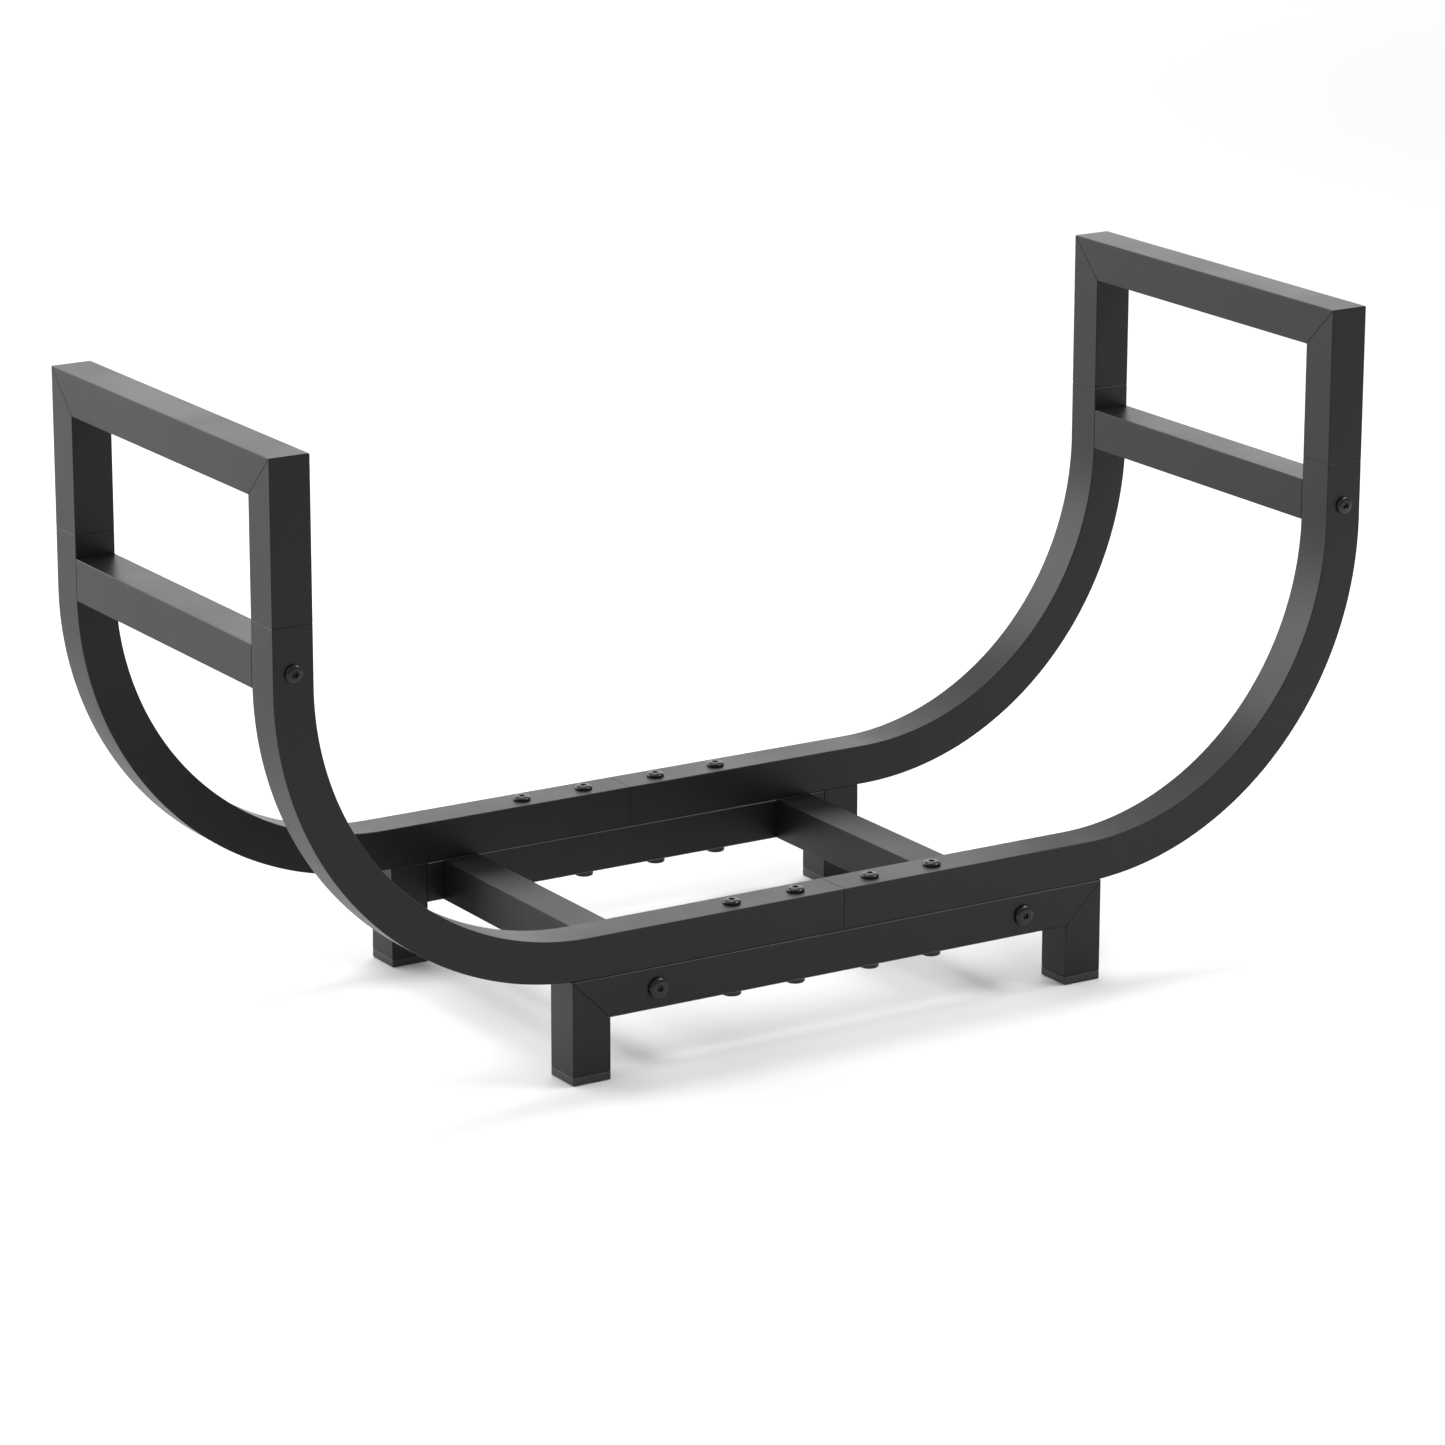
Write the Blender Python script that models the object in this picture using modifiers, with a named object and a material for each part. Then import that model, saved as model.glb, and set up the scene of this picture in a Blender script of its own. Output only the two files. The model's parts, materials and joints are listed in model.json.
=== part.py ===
"""Firewood log rack of square steel tube.

Four bent cradle tubes carry the logs, a mitred handle frame stands on each end, and two low base
frames hold it all off the floor. X runs along the rack, Y across it and Z up from the floor.
"""

import math

import bmesh
import bpy
from mathutils import Matrix, Vector

MM = 0.001

# Driving dimensions, in millimetres.
LENGTH = 890
DEPTH = 319
HEIGHT = 470
TUBE = 30
WALL = 1.5
OUTER_CORNER = 1.6
INNER_CORNER = 0.4
CORNER_STEPS = 2
GAP = 0.3

CRADLE_BOTTOM = 75
BEND_RADIUS = 223
BEND_STEPS = 16
HANDLE_SEAM = 356
UPPER_CROSSBAR_Z = 324.5

FRONT_LEG_OUTER_X = 220.5
REAR_LEG_OUTER_X = 201.5
LOWER_CROSSBAR_X = 143.5
FOOT_CAP_HEIGHT = 6
FOOT_CAP_BEVEL = 0.8
FOOT_PLUG_HEIGHT = 14
FOOT_PLUG_WALL = 2.5

SLEEVE_BOTTOM = 314
SLEEVE_TOP = 400
SLEEVE_WALL = 2
END_PLUG_LENGTH = 12

RAIL_BOLT_X = (31, 83.5)
RAIL_SHANK = 8
RAIL_SHANK_LENGTH = 54
RAIL_HEAD_DIAMETER = 13
RAIL_HEAD_HEIGHT = 2.6
SIDE_BOLT_OFFSET = 9.2
SIDE_SHANK = 6
UPPER_HEAD_DIAMETER = 13
LOWER_HEAD_DIAMETER = 15.4
UPPER_HEAD_HEIGHT = 2.6
LOWER_HEAD_HEIGHT = 3.4
SHANK_CHAMFER = 1
HEAD_CROWN = 0.55
HEAD_RIM = 0.2
HEAD_STEPS = 4
HEX_SIZE = 4
HEX_DEPTH = 1.7
NUT_CAP_DIAMETER = 14
NUT_CAP_HEIGHT = 6
NUT_CAP_ROUND = 1.2
NUT_BARREL_DIAMETER = 11
NUT_BARREL_LENGTH = 20
NUT_BORE_FLOOR = 1.5
TURN_STEPS = 16
SMOOTH_ANGLE = 40

# Places that follow from them.
HALF = TUBE / 2
END_X = LENGTH / 2 - HALF
SIDE_Y = DEPTH / 2 - HALF
INNER_Y = SIDE_Y - HALF
CRADLE_Z = CRADLE_BOTTOM + HALF
CRADLE_TOP = CRADLE_BOTTOM + TUBE
BEND_X = END_X - BEND_RADIUS
BEND_Z = CRADLE_Z + BEND_RADIUS
BASE_TOP = CRADLE_BOTTOM - GAP
BASE_Z = BASE_TOP - HALF
BASE_BOTTOM = BASE_TOP - TUBE
BAR_Z = HEIGHT - HALF
SNUG = TUBE - 2 * WALL - 2 * GAP
MITRE_GAP = 0.75 * GAP
RAIL_HOLE = RAIL_SHANK + 2 * GAP
SIDE_HOLE = SIDE_SHANK + 2 * GAP
NUT_HOLE = NUT_BARREL_DIAMETER + 2 * GAP
HEX_CORNERS = HEX_SIZE / math.cos(math.radians(30))

ENDS = {"left": -1, "right": 1}
SIDES = {"front": -1, "rear": 1}


def clear_scene():
    for old in list(bpy.data.objects):
        bpy.data.objects.remove(old, do_unlink=True)


def make_collection(name, hidden=False):
    collection = bpy.data.collections.new(name)
    bpy.context.scene.collection.children.link(collection)
    collection.hide_render = hidden
    return collection


def make_material(name, colour, roughness, metallic):
    material = bpy.data.materials.new(name)
    material.use_nodes = True
    shader = material.node_tree.nodes["Principled BSDF"]
    shader.inputs["Base Color"].default_value = (*colour, 1)
    shader.inputs["Roughness"].default_value = roughness
    shader.inputs["Metallic"].default_value = metallic
    material.diffuse_color = (*colour, 1)
    return material


clear_scene()
rack_parts = make_collection("firewood_log_rack")
cutters = make_collection("cutters", hidden=True)
powder_coat = make_material("powder_coat", (0.035, 0.035, 0.037), 0.42, 0.1)
blackened_steel = make_material("blackened_steel", (0.02, 0.02, 0.021), 0.3, 0.6)
black_plastic = make_material("black_plastic", (0.03, 0.03, 0.031), 0.5, 0.0)
zinc_plate = make_material("zinc_plate", (0.45, 0.46, 0.47), 0.35, 1.0)
rack = bpy.data.objects.new("rack_origin", None)
rack_parts.objects.link(rack)


def mesh_in_metres(name, mesh_tools):
    bmesh.ops.recalc_face_normals(mesh_tools, faces=mesh_tools.faces)
    bmesh.ops.scale(mesh_tools, vec=(MM, MM, MM), verts=mesh_tools.verts)
    mesh = bpy.data.meshes.new(name)
    mesh_tools.to_mesh(mesh)
    mesh_tools.free()
    return mesh


def add_object(name, mesh_tools, material):
    """Turns a bmesh in millimetres into a part of the rack."""
    mesh = mesh_in_metres(name, mesh_tools)
    mesh.materials.append(material)
    mesh.shade_smooth()
    mesh.set_sharp_from_angle(angle=math.radians(SMOOTH_ANGLE))
    part = bpy.data.objects.new(name, mesh)
    part.parent = rack
    rack_parts.objects.link(part)
    return part


def add_boolean(part, mesh_tools, operation="DIFFERENCE"):
    """Cuts a bmesh in millimetres out of the part, or joins it on, in the part's own frame."""
    name = f"{part.name}_{operation.lower()}"
    other = bpy.data.objects.new(name, mesh_in_metres(name, mesh_tools))
    other.parent = part
    other.hide_render = True
    other.display_type = "WIRE"
    cutters.objects.link(other)
    modifier = part.modifiers.new(operation.lower(), "BOOLEAN")
    modifier.operation = operation
    modifier.solver = "EXACT"
    modifier.object = other


def add_cylinder(mesh_tools, centre, axis, diameter, length, steps=TURN_STEPS):
    turn = Vector((0, 0, 1)).rotation_difference(Vector(axis)).to_matrix().to_4x4()
    bmesh.ops.create_cone(
        mesh_tools,
        cap_ends=True,
        segments=steps,
        radius1=diameter / 2,
        radius2=diameter / 2,
        depth=length,
        matrix=Matrix.Translation(centre) @ turn,
    )


def drill(part, holes):
    """Drills round holes, each given as centre, axis, diameter and length."""
    mesh_tools = bmesh.new()
    for centre, axis, diameter, length in holes:
        add_cylinder(mesh_tools, centre, axis, diameter, length)
    add_boolean(part, mesh_tools)


def add_box(mesh_tools, size, centre):
    cube = bmesh.ops.create_cube(mesh_tools, size=1)
    bmesh.ops.scale(mesh_tools, vec=size, verts=cube["verts"])
    bmesh.ops.translate(mesh_tools, vec=centre, verts=cube["verts"])
    return cube["verts"]


def rounded_square(size, radius):
    """The corners' arcs of a square outline, anticlockwise."""
    points = []
    for corner in range(4):
        middle = math.radians(45 + 90 * corner)
        reach = size / 2 - radius
        centre_u = math.copysign(reach, math.cos(middle))
        centre_v = math.copysign(reach, math.sin(middle))
        for step in range(CORNER_STEPS + 1):
            angle = math.radians(90 * corner + 90 * step / CORNER_STEPS)
            points.append((centre_u + radius * math.cos(angle), centre_v + radius * math.sin(angle)))
    return points


def add_section(mesh_tools, frame, size=TUBE, wall=WALL):
    """Lays the tube's ring-shaped section in the plane of a frame and returns its faces."""
    outer = [mesh_tools.verts.new(frame @ Vector((u, v, 0))) for u, v in rounded_square(size, OUTER_CORNER)]
    inner_outline = rounded_square(size - 2 * wall, INNER_CORNER)
    inner = [mesh_tools.verts.new(frame @ Vector((u, v, 0))) for u, v in inner_outline]
    faces = []
    for here in range(len(outer)):
        there = (here + 1) % len(outer)
        faces.append(mesh_tools.faces.new((outer[here], outer[there], inner[there], inner[here])))
    return faces


def extrude_section(mesh_tools, faces, travel, closes_start=False):
    """Draws the section along a straight line and returns its faces at the far end."""
    drawn = bmesh.ops.extrude_face_region(mesh_tools, geom=faces)["geom"]
    moved = [part for part in drawn if isinstance(part, bmesh.types.BMVert)]
    bmesh.ops.translate(mesh_tools, vec=travel, verts=moved)
    if not closes_start:
        bmesh.ops.delete(mesh_tools, geom=faces, context="FACES_ONLY")
    return [part for part in drawn if isinstance(part, bmesh.types.BMFace)]


def make_tube(name, start, end, across, mitres=(0, 0), size=TUBE, wall=WALL, material=powder_coat):
    """A straight tube. Each mitre slants that end along the tube, by its value for each unit across."""
    start, end, across = Vector(start), Vector(end), Vector(across)
    along = (end - start).normalized()
    third = along.cross(across)
    frame = Matrix((across, third, along)).transposed().to_4x4()
    frame.translation = start
    mesh_tools = bmesh.new()
    near_faces = add_section(mesh_tools, frame, size, wall)
    near = {vert for face in near_faces for vert in face.verts}
    far_faces = extrude_section(mesh_tools, near_faces, end - start, closes_start=True)
    far = {vert for face in far_faces for vert in face.verts}
    for ring, mitre, centre in ((near, mitres[0], start), (far, mitres[1], end)):
        for vert in ring:
            vert.co += along * mitre * (vert.co - centre).dot(across)
    return add_object(name, mesh_tools, material)


def make_cradle_tube(side, end):
    """A flat run from the middle of the rack, a quarter bend and a short upright."""
    y = SIDES[side] * SIDE_Y
    x_sign = ENDS[end]
    frame = Matrix(((0, 0, x_sign), (1, 0, 0), (0, 1, 0))).to_4x4()
    frame.translation = Vector((x_sign * GAP / 2, y, CRADLE_Z))
    mesh_tools = bmesh.new()
    faces = add_section(mesh_tools, frame)
    bend_start = extrude_section(mesh_tools, faces, (x_sign * (BEND_X - GAP / 2), 0, 0), closes_start=True)
    bent = bmesh.ops.spin(
        mesh_tools,
        geom=bend_start,
        cent=(x_sign * BEND_X, y, BEND_Z),
        axis=(0, -x_sign, 0),
        angle=math.radians(90),
        steps=BEND_STEPS,
        use_duplicate=False,
    )["geom_last"]
    bmesh.ops.delete(mesh_tools, geom=bend_start, context="FACES_ONLY")
    bend_end = [part for part in bent if isinstance(part, bmesh.types.BMFace)]
    extrude_section(mesh_tools, bend_end, (0, 0, HANDLE_SEAM - BEND_Z))
    tube = add_object(f"cradle_tube_{side}_{end}", mesh_tools, powder_coat)
    holes = [((x_sign * END_X, y, UPPER_CROSSBAR_Z), (0, 1, 0), SIDE_HOLE, 1.5 * TUBE)]
    for bolt_x in RAIL_BOLT_X:
        holes.append(((x_sign * bolt_x, y, CRADLE_Z), (0, 0, 1), RAIL_HOLE, 1.5 * TUBE))
    drill(tube, holes)


def make_handle_frame(end):
    """Two posts and a top bar, mitred at the top corners."""
    x = ENDS[end] * END_X
    across_y = (0, 1, 0)
    for side, y_sign in SIDES.items():
        y = y_sign * SIDE_Y
        make_tube(
            f"handle_post_{side}_{end}",
            (x, y, HANDLE_SEAM + GAP),
            (x, y, BAR_Z - MITRE_GAP),
            across_y,
            mitres=(0, y_sign),
        )
    reach = SIDE_Y - MITRE_GAP
    make_tube(f"handle_bar_{end}", (x, -reach, BAR_Z), (x, reach, BAR_Z), (0, 0, 1), mitres=(-1, 1))


def make_handle_sleeve(side, end):
    """The spigot inside the joint between a cradle tube and a handle post."""
    x = ENDS[end] * END_X
    y = SIDES[side] * SIDE_Y
    bottom = (x, y, SLEEVE_BOTTOM)
    top = (x, y, SLEEVE_TOP)
    name = f"handle_sleeve_{side}_{end}"
    sleeve = make_tube(name, bottom, top, (1, 0, 0), size=SNUG, wall=SLEEVE_WALL, material=zinc_plate)
    drill(sleeve, [((x, y, UPPER_CROSSBAR_Z), (0, 1, 0), SIDE_HOLE, 1.5 * TUBE)])


def make_base_frame(side):
    """A rail under the cradle with a leg at each end: mitred in front, butted at the rear."""
    y = SIDES[side] * SIDE_Y
    mitred = side == "front"
    leg_outer = FRONT_LEG_OUTER_X if mitred else REAR_LEG_OUTER_X
    leg_x = leg_outer - HALF
    rail_reach = leg_x - MITRE_GAP if mitred else leg_x - HALF - GAP
    slant = 1 if mitred else 0
    rail_ends = ((-rail_reach, y, BASE_Z), (rail_reach, y, BASE_Z))
    rail = make_tube(f"base_rail_{side}", *rail_ends, (0, 0, 1), mitres=(-slant, slant))
    holes = []
    for x_sign in ENDS.values():
        bolt_x = x_sign * (LOWER_CROSSBAR_X + SIDE_BOLT_OFFSET * slant)
        holes.append(((bolt_x, y, BASE_Z), (0, 1, 0), SIDE_HOLE, 1.5 * TUBE))
        for rail_x in RAIL_BOLT_X:
            x = x_sign * rail_x
            holes.append(((x, y, BASE_TOP), (0, 0, 1), RAIL_HOLE, HALF))
            holes.append(((x, y, BASE_BOTTOM), (0, 0, 1), NUT_HOLE, HALF))
    drill(rail, holes)
    for end, x_sign in ENDS.items():
        x = x_sign * leg_x
        top = BASE_Z - MITRE_GAP if mitred else BASE_TOP
        foot = (x, y, FOOT_CAP_HEIGHT + GAP)
        make_tube(f"base_leg_{side}_{end}", foot, (x, y, top), (1, 0, 0), mitres=(0, slant * x_sign))
        make_foot_cap(f"foot_cap_{side}_{end}", x, y)


def make_foot_cap(name, x, y):
    """A plastic cap: a flange flush with the leg and a hollow plug that grips inside it."""
    mesh_tools = bmesh.new()
    flange = add_box(mesh_tools, (TUBE, TUBE, FOOT_CAP_HEIGHT), (x, y, FOOT_CAP_HEIGHT / 2))
    edges = list({edge for vert in flange for edge in vert.link_edges})
    bmesh.ops.bevel(mesh_tools, geom=edges, offset=FOOT_CAP_BEVEL, segments=1, affect="EDGES")
    cap = add_object(name, mesh_tools, black_plastic)

    plug_bottom = FOOT_CAP_HEIGHT / 2
    plug_top = FOOT_CAP_HEIGHT + FOOT_PLUG_HEIGHT
    plug = bmesh.new()
    add_box(plug, (SNUG, SNUG, plug_top - plug_bottom), (x, y, (plug_bottom + plug_top) / 2))
    add_boolean(cap, plug, "UNION")

    hollow_width = SNUG - 2 * FOOT_PLUG_WALL
    hollow = bmesh.new()
    add_box(hollow, (hollow_width, hollow_width, 2 * FOOT_PLUG_HEIGHT), (x, y, plug_top))
    add_boolean(cap, hollow)


def make_crossbar(name, x, z):
    reach = INNER_Y - GAP
    make_tube(name, (x, -reach, z), (x, reach, z), (1, 0, 0))


def make_end_plug(name, x, z, side, hole_x):
    """The threaded block fixed inside a crossbar's end."""
    y = SIDES[side] * (INNER_Y - GAP - END_PLUG_LENGTH / 2)
    mesh_tools = bmesh.new()
    add_box(mesh_tools, (SNUG, END_PLUG_LENGTH, SNUG), (x, y, z))
    plug = add_object(name, mesh_tools, zinc_plate)
    drill(plug, [((hole_x, y, z), (0, 1, 0), SIDE_HOLE, 2 * END_PLUG_LENGTH)])


def turn_profile(name, profile, material):
    """Turns a profile about Z. The profile runs from the axis at the top, down the outside, to the axis."""
    mesh_tools = bmesh.new()
    verts = [mesh_tools.verts.new((radius, 0, height)) for radius, height in profile]
    for upper, lower in zip(verts, verts[1:]):
        mesh_tools.edges.new((upper, lower))
    part = add_object(name, mesh_tools, material)
    screw = part.modifiers.new("turn", "SCREW")
    screw.steps = TURN_STEPS
    screw.render_steps = TURN_STEPS
    screw.use_merge_vertices = True
    screw.merge_threshold = 0.00001
    return part


def add_hex_socket(part, height):
    socket = bmesh.new()
    add_cylinder(socket, (0, 0, height), (0, 0, 1), HEX_CORNERS, 2 * HEX_DEPTH, steps=6)
    add_boolean(part, socket)


def make_bolt(name, place, head_diameter, head_height, shank_diameter, shank_length):
    """A button head bolt with a hex socket. Its own frame has the head's underside at zero, head up."""
    head = head_diameter / 2
    shank = shank_diameter / 2
    crown = HEAD_CROWN * head
    rim_height = HEAD_RIM * head_height
    profile = [(0, head_height), (crown, head_height)]
    for step in range(1, HEAD_STEPS + 1):
        angle = math.radians(90 * step / HEAD_STEPS)
        height = rim_height + (head_height - rim_height) * math.cos(angle)
        profile.append((crown + (head - crown) * math.sin(angle), height))
    profile += [(head, 0), (shank, 0), (shank, SHANK_CHAMFER - shank_length)]
    profile += [(shank - SHANK_CHAMFER, -shank_length), (0, -shank_length)]
    bolt = turn_profile(name, profile, blackened_steel)
    add_hex_socket(bolt, head_height)
    bolt.matrix_local = place


def make_nut(name, x, y):
    """A sleeve nut: a round cap under the base rail and a bored barrel inside it."""
    barrel = NUT_BARREL_DIAMETER / 2
    bore = RAIL_HOLE / 2
    cap = NUT_CAP_DIAMETER / 2
    profile = [(0, NUT_BORE_FLOOR), (bore, NUT_BORE_FLOOR), (bore, NUT_BARREL_LENGTH)]
    profile += [(barrel, NUT_BARREL_LENGTH), (barrel, 0)]
    profile += [(cap, 0), (cap, NUT_CAP_ROUND - NUT_CAP_HEIGHT)]
    profile += [(cap - NUT_CAP_ROUND, -NUT_CAP_HEIGHT), (0, -NUT_CAP_HEIGHT)]
    nut = turn_profile(name, profile, blackened_steel)
    add_hex_socket(nut, -NUT_CAP_HEIGHT)
    nut.location = Vector((x, y, BASE_BOTTOM - GAP)) * MM


def make_rail_fasteners(side):
    """The upright bolts that clamp the cradle tubes to the base rail."""
    y = SIDES[side] * SIDE_Y
    places = sorted([-x for x in RAIL_BOLT_X] + list(RAIL_BOLT_X))
    for number, x in enumerate(places, start=1):
        place = Matrix.Translation(Vector((x, y, CRADLE_TOP + GAP)) * MM)
        name = f"rail_bolt_{side}_{number}"
        make_bolt(name, place, RAIL_HEAD_DIAMETER, RAIL_HEAD_HEIGHT, RAIL_SHANK, RAIL_SHANK_LENGTH)
        make_nut(f"rail_nut_{side}_{number}", x, y)


def make_side_bolt(name, x, z, side, head_diameter, head_height):
    """A bolt through a tube from the outside of the rack into a crossbar's end plug."""
    outward = Vector((0, SIDES[side], 0))
    turn = Vector((0, 0, 1)).rotation_difference(outward).to_matrix().to_4x4()
    place = Matrix.Translation(Vector((x, SIDES[side] * (DEPTH / 2 + GAP), z)) * MM) @ turn
    shank_length = TUBE + 2 * GAP + END_PLUG_LENGTH
    make_bolt(name, place, head_diameter, head_height, SIDE_SHANK, shank_length)


def make_crossbars(end):
    """The upper and lower crossbars of one end, with their end plugs and bolts."""
    x_sign = ENDS[end]
    upper_x = x_sign * END_X
    lower_x = x_sign * LOWER_CROSSBAR_X
    make_crossbar(f"upper_crossbar_{end}", upper_x, UPPER_CROSSBAR_Z)
    make_crossbar(f"lower_crossbar_{end}", lower_x, BASE_Z)
    for side in SIDES:
        offset = SIDE_BOLT_OFFSET if side == "front" else 0
        bolt_x = lower_x + x_sign * offset
        make_end_plug(f"upper_end_plug_{side}_{end}", upper_x, UPPER_CROSSBAR_Z, side, upper_x)
        make_end_plug(f"lower_end_plug_{side}_{end}", lower_x, BASE_Z, side, bolt_x)
        make_side_bolt(
            f"upper_side_bolt_{side}_{end}",
            upper_x,
            UPPER_CROSSBAR_Z,
            side,
            UPPER_HEAD_DIAMETER,
            UPPER_HEAD_HEIGHT,
        )
        make_side_bolt(
            f"lower_side_bolt_{side}_{end}",
            bolt_x,
            BASE_Z,
            side,
            LOWER_HEAD_DIAMETER,
            LOWER_HEAD_HEIGHT,
        )


for end_name in ENDS:
    for side_name in SIDES:
        make_cradle_tube(side_name, end_name)
        make_handle_sleeve(side_name, end_name)
    make_handle_frame(end_name)
    make_crossbars(end_name)
for side_name in SIDES:
    make_base_frame(side_name)
    make_rail_fasteners(side_name)
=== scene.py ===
"""The looks of the firewood log rack: finely rounded tubes, bolts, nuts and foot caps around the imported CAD.

Lengths are in metres, in the CAD's own frame: X along the rack, Y from its front to its rear, Z up.
"""

import json
import math

import bmesh
import bpy
from mathutils import Matrix, Vector


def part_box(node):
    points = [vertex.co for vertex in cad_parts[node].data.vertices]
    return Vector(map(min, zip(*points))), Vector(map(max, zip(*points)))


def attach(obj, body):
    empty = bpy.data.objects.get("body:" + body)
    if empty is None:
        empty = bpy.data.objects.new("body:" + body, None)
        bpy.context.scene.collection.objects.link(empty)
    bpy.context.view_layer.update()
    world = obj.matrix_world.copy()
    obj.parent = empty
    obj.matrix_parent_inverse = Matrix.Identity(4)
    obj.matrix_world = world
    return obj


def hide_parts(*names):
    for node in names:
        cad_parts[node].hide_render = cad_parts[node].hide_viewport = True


MM = 0.001
BODY = "root"

# Pieces that touch in the real rack keep this distance in the CAD.
GAP = 0.3 * MM

# Square tube. The seam values shape the edges that meet another tube's edge: how far a tube reaches into the
# gap, how large the edge is, and how flat (1 is round, 2 is a straight chamfer).
CORNER_RADIUS = 0.6 * MM
RAIL_CORNER = 1.0 * MM
CORNER_STEPS = 5
END_ROUND = 0.15 * MM
SEAM_ROUND = 0.6 * MM
SEAM_REACH = 0.25 * MM
SEAM_FLATNESS = 1.7
END_STEPS = 4
WALL = 1.5 * MM
INNER_CORNER = 0.5 * MM
BEND_RADIUS = 223 * MM
BEND_STEPS = 72
BOLT_NUMBERS = (1, 2, 3, 4)

# Fasteners. The crown and the rim are shares of a head's radius and height.
TURN_STEPS = 48
ARC_STEPS = 7
HEX_SIZE = 4 * MM
HEX_DEPTH = 2.2 * MM
SOCKET_RIM = HEX_SIZE / 2 / math.cos(math.radians(30)) + 0.15 * MM
CROWN_SHARE = 0.5
RIM_SHARE = 0.2
EDGE_BREAK = 0.25 * MM
SHANK_CHAMFER = 0.8 * MM
SHANK_FILLET = 0.3 * MM
RAIL_SHANK = 8 * MM
SIDE_SHANK = 6 * MM
NUT_ROUND = 1.2 * MM
NUT_BARREL = 11 * MM
NUT_FLOOR = 1.5 * MM
CLEARANCE = 0.6 * MM
SIDE_HOLE_LENGTH = 45 * MM
RAIL_HOLE_LENGTH = 15 * MM

# Foot caps.
CAP_EDGE = 0.8 * MM
CAP_BREAK = 0.4 * MM
PLUG_CORNER = 1 * MM
PLUG_CHAMFER = 1 * MM
HOLLOW_CORNER = 0.6 * MM
HOLLOW_INSET = 5 * MM

SMOOTH_ANGLE = math.radians(38)
ENDS = {"left": -1, "right": 1}
SIDES = {"front": -1, "rear": 1}

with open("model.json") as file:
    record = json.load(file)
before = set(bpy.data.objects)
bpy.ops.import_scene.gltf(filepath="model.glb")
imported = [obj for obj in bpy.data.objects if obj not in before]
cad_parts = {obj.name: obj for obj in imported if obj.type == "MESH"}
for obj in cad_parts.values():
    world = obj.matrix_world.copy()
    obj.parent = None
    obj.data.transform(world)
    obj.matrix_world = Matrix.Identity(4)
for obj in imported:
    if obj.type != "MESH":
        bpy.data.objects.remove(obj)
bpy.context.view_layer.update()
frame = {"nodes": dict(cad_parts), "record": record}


# Materials. Colours are linear.

COAT_DARK = (0.0042, 0.0042, 0.0044)
COAT_LIGHT = (0.0072, 0.0072, 0.0074)
COAT_ROUGHNESS = (0.37, 0.42)
COAT_IOR = 1.355
OXIDE_DARK = (0.004, 0.004, 0.0043)
OXIDE_LIGHT = (0.007, 0.007, 0.0074)
OXIDE_IOR = 1.42
PLASTIC_DARK = (0.012, 0.012, 0.0125)
PLASTIC_LIGHT = (0.018, 0.018, 0.0185)
ZINC_DARK = (0.50, 0.51, 0.52)
ZINC_LIGHT = (0.60, 0.61, 0.62)


def new_material(name):
    material = bpy.data.materials.new(name)
    material.use_nodes = True
    tree = material.node_tree
    return material, tree, tree.nodes["Principled BSDF"]


def add_node(tree, kind, **inputs):
    node = tree.nodes.new(kind)
    for name, value in inputs.items():
        node.inputs[name.replace("_", " ")].default_value = value
    return node


def add_noise(tree, coordinates, scale, detail=3.0, roughness=0.5):
    noise = add_node(tree, "ShaderNodeTexNoise", Scale=scale, Detail=detail, Roughness=roughness)
    tree.links.new(coordinates.outputs["Object"], noise.inputs["Vector"])
    return noise.outputs["Fac"]


def map_range(tree, value, low, high, start=0.35, end=0.65):
    node = tree.nodes.new("ShaderNodeMapRange")
    node.inputs["From Min"].default_value = start
    node.inputs["From Max"].default_value = end
    node.inputs["To Min"].default_value = low
    node.inputs["To Max"].default_value = high
    tree.links.new(value, node.inputs["Value"])
    return node.outputs["Result"]


def mix_colours(tree, factor, first, second):
    node = tree.nodes.new("ShaderNodeMix")
    node.data_type = "RGBA"
    tree.links.new(factor, node.inputs["Factor"])
    node.inputs["A"].default_value = (*first, 1)
    node.inputs["B"].default_value = (*second, 1)
    return node.outputs["Result"]


def add_bump(tree, height, strength, distance, below=None):
    bump = add_node(tree, "ShaderNodeBump", Strength=strength, Distance=distance)
    tree.links.new(height, bump.inputs["Height"])
    if below is not None:
        tree.links.new(below, bump.inputs["Normal"])
    return bump.outputs["Normal"]


def powder_coat():
    """Satin powder coat: a fine orange peel, faint cloudiness and a slow drift in its gloss."""
    material, tree, shader = new_material("satin_powder_coat")
    coordinates = tree.nodes.new("ShaderNodeTexCoord")
    cloud = add_noise(tree, coordinates, 14, detail=4)
    speckle = add_noise(tree, coordinates, 2600, detail=2)
    peel = add_noise(tree, coordinates, 620, detail=2, roughness=0.45)
    colour = mix_colours(tree, map_range(tree, speckle, 0, 1), COAT_DARK, COAT_LIGHT)
    tree.links.new(colour, shader.inputs["Base Color"])
    tree.links.new(map_range(tree, cloud, *COAT_ROUGHNESS), shader.inputs["Roughness"])
    fine = add_bump(tree, speckle, 0.10, 0.00012)
    tree.links.new(add_bump(tree, peel, 0.12, 0.0003, fine), shader.inputs["Normal"])
    shader.inputs["IOR"].default_value = COAT_IOR
    return material


def black_oxide():
    """Oiled black oxide: glossier than the coat, with a fine grain."""
    material, tree, shader = new_material("black_oxide")
    coordinates = tree.nodes.new("ShaderNodeTexCoord")
    grain = add_noise(tree, coordinates, 1800, detail=3)
    patch = add_noise(tree, coordinates, 260, detail=2)
    colour = mix_colours(tree, map_range(tree, patch, 0, 1), OXIDE_DARK, OXIDE_LIGHT)
    tree.links.new(colour, shader.inputs["Base Color"])
    tree.links.new(map_range(tree, grain, 0.26, 0.32), shader.inputs["Roughness"])
    tree.links.new(add_bump(tree, grain, 0.08, 0.0001), shader.inputs["Normal"])
    shader.inputs["IOR"].default_value = OXIDE_IOR
    return material


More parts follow.
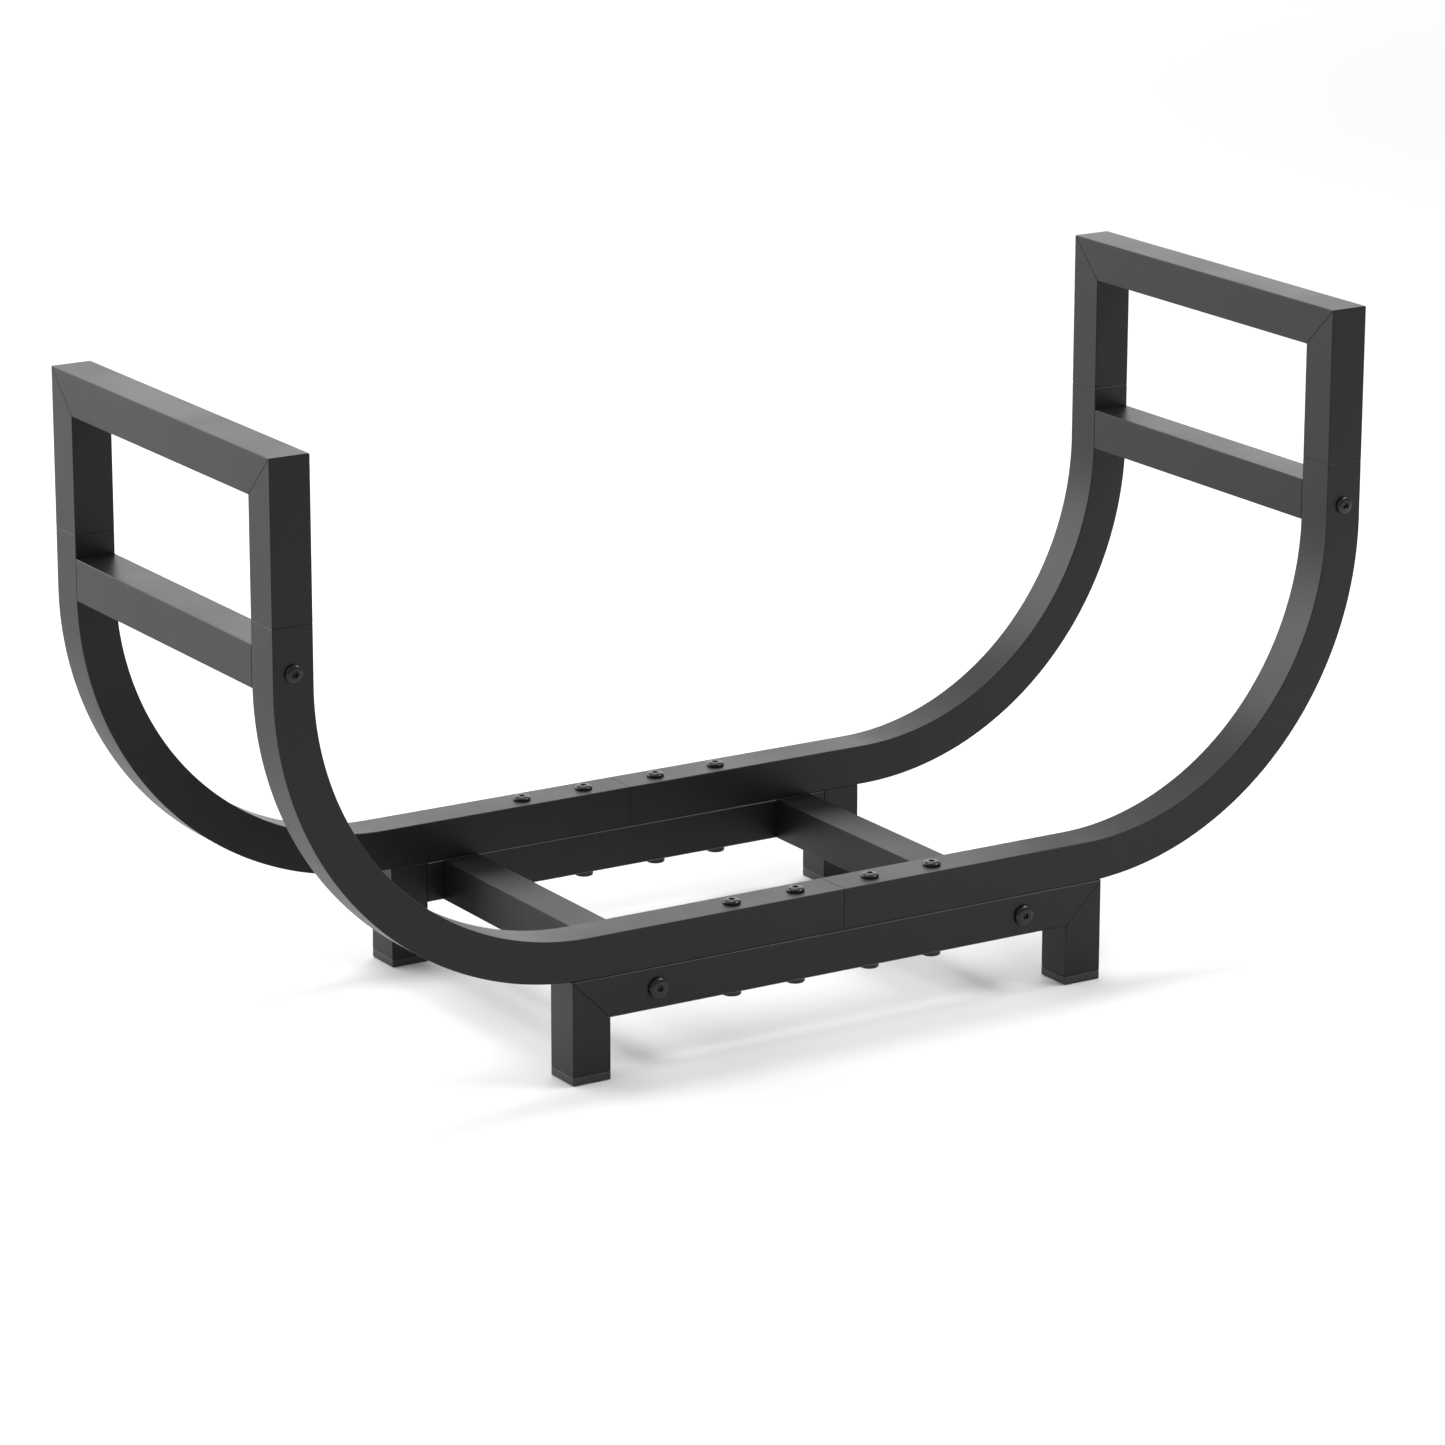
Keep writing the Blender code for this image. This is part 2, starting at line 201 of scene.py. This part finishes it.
def moulded_plastic():
    """Black polypropylene with a spark-eroded mould texture."""
    material, tree, shader = new_material("moulded_plastic")
    coordinates = tree.nodes.new("ShaderNodeTexCoord")
    grain = add_noise(tree, coordinates, 1500, detail=2)
    colour = mix_colours(tree, map_range(tree, grain, 0, 1), PLASTIC_DARK, PLASTIC_LIGHT)
    tree.links.new(colour, shader.inputs["Base Color"])
    tree.links.new(map_range(tree, grain, 0.48, 0.6), shader.inputs["Roughness"])
    tree.links.new(add_bump(tree, grain, 0.25, 0.0002), shader.inputs["Normal"])
    return material


def zinc_plate():
    """Dull zinc plate with faint crystals."""
    material, tree, shader = new_material("zinc_plate")
    coordinates = tree.nodes.new("ShaderNodeTexCoord")
    cells = add_node(tree, "ShaderNodeTexVoronoi", Scale=240)
    tree.links.new(coordinates.outputs["Object"], cells.inputs["Vector"])
    distance = cells.outputs["Distance"]
    colour = mix_colours(tree, map_range(tree, distance, 0, 1, 0, 0.8), ZINC_DARK, ZINC_LIGHT)
    tree.links.new(colour, shader.inputs["Base Color"])
    tree.links.new(map_range(tree, distance, 0.34, 0.48, 0, 0.8), shader.inputs["Roughness"])
    shader.inputs["Metallic"].default_value = 1
    return material


FINISHES = {
    "powder_coated_steel": powder_coat(),
    "blackened_fasteners": black_oxide(),
    "foot_cap_plastic": moulded_plastic(),
    "zinc_plated_inserts": zinc_plate(),
}


# Meshes.


def bridge_rings(tools, rings, closed):
    """Joins rings of points with quads. A closed list of rings joins its last ring to its first."""
    verts = [[tools.verts.new(point) for point in ring] for ring in rings]
    pairs = list(zip(verts, verts[1:]))
    if closed:
        pairs.append((verts[-1], verts[0]))
    for here, there in pairs:
        for j in range(len(here)):
            k = (j + 1) % len(here)
            tools.faces.new((here[j], here[k], there[k], there[j]))
    return verts


def drilled(tools, holes):
    """Cuts round holes out of a bmesh and returns a mesh.

    A hole is a centre, an axis, a diameter and a length.
    """
    bmesh.ops.recalc_face_normals(tools, faces=tools.faces)
    mesh = bpy.data.meshes.new("tube")
    tools.to_mesh(mesh)
    tools.free()
    if not holes:
        return mesh
    cutter_tools = bmesh.new()
    for centre, axis, diameter, length in holes:
        turn = Vector((0, 0, 1)).rotation_difference(Vector(axis)).to_matrix().to_4x4()
        bmesh.ops.create_cone(
            cutter_tools,
            cap_ends=True,
            segments=TURN_STEPS,
            radius1=diameter / 2,
            radius2=diameter / 2,
            depth=length,
            matrix=Matrix.Translation(centre) @ turn,
        )
    cutter_mesh = bpy.data.meshes.new("cutter")
    cutter_tools.to_mesh(cutter_mesh)
    cutter_tools.free()
    cutter = bpy.data.objects.new("cutter", cutter_mesh)
    blank = bpy.data.objects.new("blank", mesh)
    for helper in (cutter, blank):
        bpy.context.scene.collection.objects.link(helper)
    cut = blank.modifiers.new("cut", "BOOLEAN")
    cut.operation = "DIFFERENCE"
    cut.solver = "EXACT"
    cut.object = cutter
    graph = bpy.context.evaluated_depsgraph_get()
    result = bpy.data.meshes.new_from_object(blank.evaluated_get(graph))
    for helper in (cutter, blank):
        data = helper.data
        bpy.data.objects.remove(helper)
        bpy.data.meshes.remove(data)
    return result


def add_piece(node, mesh, slot):
    """Shows the mesh in place of a CAD node."""
    piece = bpy.data.objects.new(f"look_{node}", mesh)
    mesh.name = piece.name
    bpy.context.scene.collection.objects.link(piece)
    mesh.materials.clear()
    mesh.materials.append(FINISHES[slot])
    mesh.shade_smooth()
    mesh.set_sharp_from_angle(angle=SMOOTH_ANGLE)
    normals = piece.modifiers.new("normals", "WEIGHTED_NORMAL")
    normals.keep_sharp = True
    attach(piece, BODY)
    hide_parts(node)
    return piece


def eased(value, flatness):
    """A cosine or sine raised to a flatness, which turns a round corner (1) into a straight chamfer (2)."""
    return max(0.0, value) ** flatness


def rounded_square(size, radius, flatness=1.0):
    """A square outline with round or flattened corners, anticlockwise."""
    points = []
    reach = size / 2 - radius
    for corner in range(4):
        middle = math.radians(45 + 90 * corner)
        centre_u = math.copysign(reach, math.cos(middle))
        centre_v = math.copysign(reach, math.sin(middle))
        start = math.radians(90 * corner)
        for step in range(CORNER_STEPS + 1):
            angle = math.radians(90 * step / CORNER_STEPS)
            first = radius * eased(math.cos(angle), flatness)
            second = radius * eased(math.sin(angle), flatness)
            u = first * math.cos(start) - second * math.sin(start)
            v = first * math.sin(start) + second * math.cos(start)
            points.append((centre_u + u, centre_v + v))
    return points


def tube_mesh(
    stations, size, holes=(), corner=CORNER_RADIUS, rounds=(END_ROUND, END_ROUND), flatness=1.0
):
    """A hollow square tube through stations, each a centre with its across, third and along directions."""

    def ring(station, outline, shift=0.0):
        centre, across, third, along = station
        return [centre + across * u + third * v + along * shift for u, v in outline]

    def end_rings(station, round_radius, inward):
        rings = []
        for step in range(END_STEPS + 1):
            angle = math.radians(90 * step / END_STEPS)
            inset = round_radius * (1 - eased(math.sin(angle), SEAM_FLATNESS))
            outline = rounded_square(size - 2 * inset, corner - inset, flatness)
            shift = round_radius * (1 - eased(math.cos(angle), SEAM_FLATNESS))
            rings.append(ring(station, outline, inward * shift))
        return rings

    full = rounded_square(size, corner, flatness)
    inner = rounded_square(size - 2 * WALL, INNER_CORNER)
    rings = end_rings(stations[0], rounds[0], 1)
    rings += [ring(station, full) for station in stations[1:-1]]
    rings += reversed(end_rings(stations[-1], rounds[1], -1))
    rings += [ring(station, inner) for station in reversed(stations)]
    tools = bmesh.new()
    bridge_rings(tools, rings, closed=True)
    return drilled(tools, holes)


def straight_tube(node, axis, across, mitres=(0, 0), holes=(), reach=0.0, **shape):
    """A tube along an axis through its CAD node's box.

    A mitre slants an end by its value for each unit across. A reach thickens the tube upward and lengthens
    its mitred ends.
    """
    low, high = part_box(node)
    size = min(high - low)
    start = (low + high) / 2
    end = start.copy()
    start[axis] = low[axis] + abs(mitres[0]) * size / 2
    end[axis] = high[axis] - abs(mitres[1]) * size / 2
    start[axis] -= abs(mitres[0]) * reach
    end[axis] += abs(mitres[1]) * reach
    for point in (start, end):
        point.z += reach / 2
    size += reach
    along = (end - start).normalized()
    across = Vector(across)
    third = along.cross(across)
    first = (start, across + along * mitres[0], third, along)
    last = (end, across + along * mitres[1], third, along)
    add_piece(node, tube_mesh([first, last], size, holes, **shape), "powder_coated_steel")


def cradle_tube(side, end):
    """A level run, a quarter bend and a short upright."""
    node = f"cradle_tube_{side}_{end}"
    low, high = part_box(node)
    size = high.y - low.y
    x_sign = ENDS[end]
    y = (low.y + high.y) / 2
    level_z = low.z + size / 2
    inner_x, outer_x = sorted((abs(low.x), abs(high.x)))
    bend_x = outer_x - size / 2 - BEND_RADIUS
    bend_z = level_z + BEND_RADIUS
    third = Vector((0, 1, 0))

    def station(x, z, degrees):
        turn = math.radians(degrees)
        along = Vector((x_sign * math.cos(turn), 0, math.sin(turn)))
        across = Vector((-x_sign * math.sin(turn), 0, math.cos(turn)))
        return Vector((x_sign * x, y, z)), across, third, along

    stations = [station(inner_x, level_z, 0), station(bend_x, level_z, 0)]
    for step in range(1, BEND_STEPS + 1):
        degrees = 90 * step / BEND_STEPS
        turn = math.radians(degrees)
        x = bend_x + BEND_RADIUS * math.sin(turn)
        stations.append(station(x, bend_z - BEND_RADIUS * math.cos(turn), degrees))
    stations.append(station(outer_x - size / 2, high.z + SEAM_REACH, 90))
    holes = [hole_for(f"upper_side_bolt_{side}_{end}", SIDE_SHANK, (0, 1, 0), y)]
    for x in bolt_places(side):
        if x * x_sign > 0:
            holes.append(((x, y, level_z), (0, 0, 1), RAIL_SHANK + CLEARANCE, 1.5 * size))
    rounds = (END_ROUND, SEAM_ROUND)
    add_piece(node, tube_mesh(stations, size, holes, rounds=rounds), "powder_coated_steel")


def bolt_places(side):
    """How far along the rack each of a side's rail bolts stands."""
    boxes = [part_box(f"rail_bolt_{side}_{number}") for number in BOLT_NUMBERS]
    return [(low.x + high.x) / 2 for low, high in boxes]


def hole_for(bolt, shank, axis, y):
    """The hole for a side bolt through the tube at y."""
    low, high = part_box(bolt)
    centre = ((low.x + high.x) / 2, y, (low.z + high.z) / 2)
    return centre, axis, shank + CLEARANCE, SIDE_HOLE_LENGTH


def arc(centre_radius, centre_height, radius, from_degrees, to_degrees):
    """Points (distance from the axis, height) along an arc."""
    points = []
    for step in range(ARC_STEPS + 1):
        angle = math.radians(from_degrees + (to_degrees - from_degrees) * step / ARC_STEPS)
        out, up = radius * math.cos(angle), radius * math.sin(angle)
        points.append((centre_radius + out, centre_height + up))
    return points


def dome(crown, head, rim, height):
    """Points from a flat crown's edge round to the head's side."""
    points = []
    for step in range(ARC_STEPS + 1):
        angle = math.radians(90 * step / ARC_STEPS)
        radius = crown + (head - crown) * math.sin(angle)
        points.append((radius, rim + (height - rim) * math.cos(angle)))
    return points


def hexagon(apothem):
    """The radius of a hexagon's outline at each of the turning steps."""
    radii = []
    for step in range(TURN_STEPS):
        offset = math.radians((360 * step / TURN_STEPS) % 60 - 30)
        radii.append(apothem / math.cos(offset))
    return radii


def turned_mesh(profile, socket_top, place):
    """Turns a profile about the vertical, sinks a hex socket below socket_top, and moves it to its place.

    The profile runs from the socket's rim, over the head and down the shank, to a point on the axis.
    """
    angles = [math.tau * step / TURN_STEPS for step in range(TURN_STEPS)]
    apothem = HEX_SIZE / 2
    walls = hexagon(apothem)

    def ring(radii, height):
        return [Vector((r * math.cos(a), r * math.sin(a), height)) for r, a in zip(radii, angles)]

    floor = socket_top - HEX_DEPTH
    rings = [
        ring([apothem * 0.5] * TURN_STEPS, floor - 0.5 * MM),
        ring([radius * 0.96 for radius in walls], floor),
        ring(walls, floor + 0.1 * MM),
        ring(walls, socket_top - 0.35 * MM),
    ]
    rings += [ring([radius] * TURN_STEPS, height) for radius, height in profile[:-1]]
    tools = bmesh.new()
    verts = bridge_rings(tools, rings, closed=False)
    for edge_ring, height in ((verts[0], floor - 0.9 * MM), (verts[-1], profile[-1][1])):
        tip = tools.verts.new((0, 0, height))
        for j in range(TURN_STEPS):
            tools.faces.new((edge_ring[j], edge_ring[(j + 1) % TURN_STEPS], tip))
    bmesh.ops.recalc_face_normals(tools, faces=tools.faces)
    bmesh.ops.transform(tools, matrix=place, verts=tools.verts)
    mesh = bpy.data.meshes.new("turned")
    tools.to_mesh(mesh)
    tools.free()
    return mesh


def shank_profile(shank, head_radius, length):
    """The head's underside, the shank and its chamfered point, down to the axis."""
    radius = shank / 2
    return [
        (head_radius - EDGE_BREAK, 0),
        (radius + SHANK_FILLET, 0),
        (radius, -SHANK_FILLET),
        (radius, SHANK_CHAMFER - length),
        (radius - SHANK_CHAMFER, -length),
        (0, -length),
    ]


def button_bolt(node, head, height, shank, length, place):
    """A button head bolt, whose head's underside is at the place's origin and whose head is above it."""
    crown = CROWN_SHARE * head
    profile = [(SOCKET_RIM, height), (crown - 0.2 * MM, height)]
    profile += dome(crown, head, RIM_SHARE * height, height)
    profile.append((head, EDGE_BREAK))
    profile += shank_profile(shank, head, length)
    add_piece(node, turned_mesh(profile, height, place), "blackened_fasteners")


def rail_bolt(node):
    """An upright bolt that clamps a cradle tube to a base rail."""
    low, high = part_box(node)
    tube_low, tube_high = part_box("cradle_tube_front_left")
    seat = tube_low.z + tube_high.y - tube_low.y + GAP
    place = Matrix.Translation(((low.x + high.x) / 2, (low.y + high.y) / 2, seat))
    button_bolt(node, (high.x - low.x) / 2, high.z - seat, RAIL_SHANK, seat - low.z, place)


def side_bolt(node, side):
    """A level bolt through a tube into a crossbar's end."""
    low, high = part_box(node)
    outward = Vector((0, SIDES[side], 0))
    tube_low, tube_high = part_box(f"base_rail_{side}")
    seat_y = (tube_low.y if side == "front" else tube_high.y) + SIDES[side] * GAP
    tip_y, top_y = (high.y, low.y) if side == "front" else (low.y, high.y)
    turn = Vector((0, 0, 1)).rotation_difference(outward).to_matrix().to_4x4()
    place = Matrix.Translation(((low.x + high.x) / 2, seat_y, (low.z + high.z) / 2)) @ turn
    head = (high.x - low.x) / 2
    button_bolt(node, head, abs(top_y - seat_y), SIDE_SHANK, abs(tip_y - seat_y), place)


def rail_nut(node):
    """A sleeve nut: a round cap under the base rail with a hex socket, and a bored barrel inside the rail."""
    low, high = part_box(node)
    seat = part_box("base_rail_front")[0].z - GAP
    cap = (high.x - low.x) / 2
    cap_height = seat - low.z
    barrel = NUT_BARREL / 2
    bore = (RAIL_SHANK + CLEARANCE) / 2
    length = high.z - seat
    profile = [(SOCKET_RIM, cap_height)]
    profile += arc(cap - NUT_ROUND, cap_height - NUT_ROUND, NUT_ROUND, 90, 0)
    profile += [(cap, EDGE_BREAK), (cap - EDGE_BREAK, 0), (barrel, 0)]
    profile += [(barrel, SHANK_FILLET - length), (barrel - SHANK_FILLET, -length), (bore, -length)]
    profile += [(bore, -NUT_FLOOR), (0, -NUT_FLOOR)]
    turn = Matrix.Rotation(math.pi, 4, "X")
    place = Matrix.Translation(((low.x + high.x) / 2, (low.y + high.y) / 2, seat)) @ turn
    add_piece(node, turned_mesh(profile, cap_height, place), "blackened_fasteners")


def foot_cap(node):
    """A flange under the leg, flush with it, and a hollow plug that grips inside the leg."""
    low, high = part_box(node)
    centre = (low + high) / 2
    size = high.x - low.x
    flange_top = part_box(node.replace("foot_cap", "base_leg"))[0].z - GAP
    plug = size - 2 * WALL - CLEARANCE
    hollow = plug - HOLLOW_INSET
    sections = []
    for step in range(END_STEPS + 1):
        angle = math.radians(90 * step / END_STEPS)
        inset = CAP_EDGE * (1 - math.sin(angle))
        lift = CAP_EDGE * (1 - math.cos(angle))
        sections.append((size - 2 * inset, CORNER_RADIUS - inset, low.z + lift))
    sections.append((size, CORNER_RADIUS, flange_top - CAP_BREAK))
    sections.append((size - 2 * CAP_BREAK, CORNER_RADIUS - CAP_BREAK, flange_top))
    sections.append((plug, PLUG_CORNER, flange_top))
    sections.append((plug, PLUG_CORNER, high.z - PLUG_CHAMFER))
    sections.append((plug - PLUG_CHAMFER, HOLLOW_CORNER, high.z))
    sections.append((hollow, HOLLOW_CORNER, high.z))
    sections.append((hollow, HOLLOW_CORNER, flange_top))
    tools = bmesh.new()
    rings = []
    for width, radius, z in sections:
        rings.append([Vector((centre.x + u, centre.y + v, z)) for u, v in rounded_square(width, radius)])
    verts = bridge_rings(tools, rings, closed=False)
    tools.faces.new(verts[0])
    tools.faces.new(verts[-1])
    bmesh.ops.recalc_face_normals(tools, faces=tools.faces)
    mesh = bpy.data.meshes.new("cap")
    tools.to_mesh(mesh)
    tools.free()
    add_piece(node, mesh, "foot_cap_plastic")


def base_rail(side):
    """The rail under the cradle tubes, drilled for the bolts and for the sleeve nuts."""
    node = f"base_rail_{side}"
    low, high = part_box(node)
    y = (low.y + high.y) / 2
    slant = 1 if side == "front" else 0
    holes = [hole_for(f"lower_side_bolt_{side}_{end}", SIDE_SHANK, (0, 1, 0), y) for end in ENDS]
    for x in bolt_places(side):
        holes.append(((x, y, high.z), (0, 0, 1), RAIL_SHANK + CLEARANCE, RAIL_HOLE_LENGTH))
        holes.append(((x, y, low.z), (0, 0, 1), NUT_BARREL + CLEARANCE, RAIL_HOLE_LENGTH))
    edges = {"corner": RAIL_CORNER, "flatness": SEAM_FLATNESS}
    straight_tube(node, 0, (0, 0, 1), (-slant, slant), holes, SEAM_REACH, **edges)


for side_name, y_sign in SIDES.items():
    base_rail(side_name)
    for number in BOLT_NUMBERS:
        rail_bolt(f"rail_bolt_{side_name}_{number}")
        rail_nut(f"rail_nut_{side_name}_{number}")
    for end_name, x_sign in ENDS.items():
        place_name = f"{side_name}_{end_name}"
        slant = x_sign if side_name == "front" else 0
        cradle_tube(side_name, end_name)
        straight_tube(f"handle_post_{place_name}", 2, (0, 1, 0), (0, y_sign))
        straight_tube(f"base_leg_{place_name}", 2, (1, 0, 0), (0, slant))
        foot_cap(f"foot_cap_{place_name}")
        side_bolt(f"upper_side_bolt_{place_name}", side_name)
        side_bolt(f"lower_side_bolt_{place_name}", side_name)
for end_name in ENDS:
    straight_tube(f"handle_bar_{end_name}", 1, (0, 0, 1), (-1, 1))
    straight_tube(f"upper_crossbar_{end_name}", 1, (0, 0, 1))
    straight_tube(f"lower_crossbar_{end_name}", 1, (0, 0, 1))

for row in frame["record"]["subparts"]:
    if row["material_slot"] == "zinc_plated_inserts":
        insert = frame["nodes"][row["node"]]
        insert.data.materials.clear()
        insert.data.materials.append(FINISHES["zinc_plated_inserts"])


# Floor, light and camera.

FLOOR_REACH = 20
FLOOR_DROP = 0.2 * MM
FLOOR_COLOUR = (0.82, 0.82, 0.82, 1)
WORLD_STRENGTH = 0.48

# Each light's name, place, target, size and power in watts.
LIGHTS = (
    ("rear_right_panel", (3.4, 5.2, 2.2), (0, 0, 0.2), (7, 4.2), 135),
    ("rear_left_panel", (-3.4, 5.2, 2.2), (0, 0, 0.2), (7, 4.2), 375),
    ("overhead_softbox", (0.2, 1.0, 2.8), (0, 0, 0.1), (1.6, 1.0), 34),
    ("left_softbox", (-3.2, 0.6, 2.6), (0, 0, 0.2), (2.2, 2.2), 42),
    ("fill_softbox", (1.5, -0.9, 2.0), (0.7, -0.6, 0), (1.5, 0.8), 38),
)

# The camera's place, its angles in degrees and its lens and sensor in millimetres.
CAMERA_PLACE = (-2.14617, -3.42197, 1.35971)
CAMERA_AZIMUTH = -32.0857
CAMERA_ELEVATION = 16.1955
CAMERA_ROLL = 0.1182
CAMERA_LENS = 146.35
CAMERA_SENSOR = 36


def add_floor():
    """A plain pale floor just under the foot caps."""
    tools = bmesh.new()
    bmesh.ops.create_grid(tools, x_segments=1, y_segments=1, size=FLOOR_REACH)
    mesh = bpy.data.meshes.new("floor")
    tools.to_mesh(mesh)
    tools.free()
    floor = bpy.data.objects.new("floor", mesh)
    floor.location.z = -FLOOR_DROP
    bpy.context.scene.collection.objects.link(floor)
    material, _, shader = new_material("pale_floor")
    shader.inputs["Base Color"].default_value = FLOOR_COLOUR
    shader.inputs["Roughness"].default_value = 0.9
    shader.inputs["Specular IOR Level"].default_value = 0.1
    mesh.materials.append(material)


def add_area_light(name, place, target, size, power):
    light = bpy.data.lights.new(name, "AREA")
    light.shape = "RECTANGLE"
    light.size, light.size_y = size
    light.energy = power
    lamp = bpy.data.objects.new(name, light)
    lamp.location = place
    lamp.rotation_mode = "QUATERNION"
    lamp.rotation_quaternion = (Vector(target) - Vector(place)).to_track_quat("-Z", "Y")
    bpy.context.scene.collection.objects.link(lamp)


def add_world(strength):
    world = bpy.data.worlds.new("studio")
    world.use_nodes = True
    world.node_tree.nodes["Background"].inputs["Color"].default_value = (1, 1, 1, 1)
    world.node_tree.nodes["Background"].inputs["Strength"].default_value = strength
    bpy.context.scene.world = world


def add_camera():
    """The long lens stands to the front left, a little above the rack."""
    azimuth, elevation, roll = map(math.radians, (CAMERA_AZIMUTH, CAMERA_ELEVATION, CAMERA_ROLL))
    data = bpy.data.cameras.new("camera")
    data.sensor_width = CAMERA_SENSOR
    data.lens = CAMERA_LENS
    data.clip_start = 0.1
    data.clip_end = 100
    level = math.cos(elevation)
    ahead = Vector((-math.sin(azimuth) * level, math.cos(azimuth) * level, -math.sin(elevation)))
    right = Vector((math.cos(azimuth), math.sin(azimuth), 0))
    down = ahead.cross(right)
    turned_right = right * math.cos(roll) - down * math.sin(roll)
    turned_down = right * math.sin(roll) + down * math.cos(roll)
    turn = Matrix((turned_right, -turned_down, -ahead)).transposed().to_4x4()
    camera = bpy.data.objects.new("camera", data)
    camera.matrix_world = Matrix.Translation(CAMERA_PLACE) @ turn
    bpy.context.scene.collection.objects.link(camera)
    bpy.context.scene.camera = camera


add_floor()
add_world(WORLD_STRENGTH)
for light in LIGHTS:
    add_area_light(*light)
add_camera()
bpy.context.scene.view_settings.view_transform = "Standard"
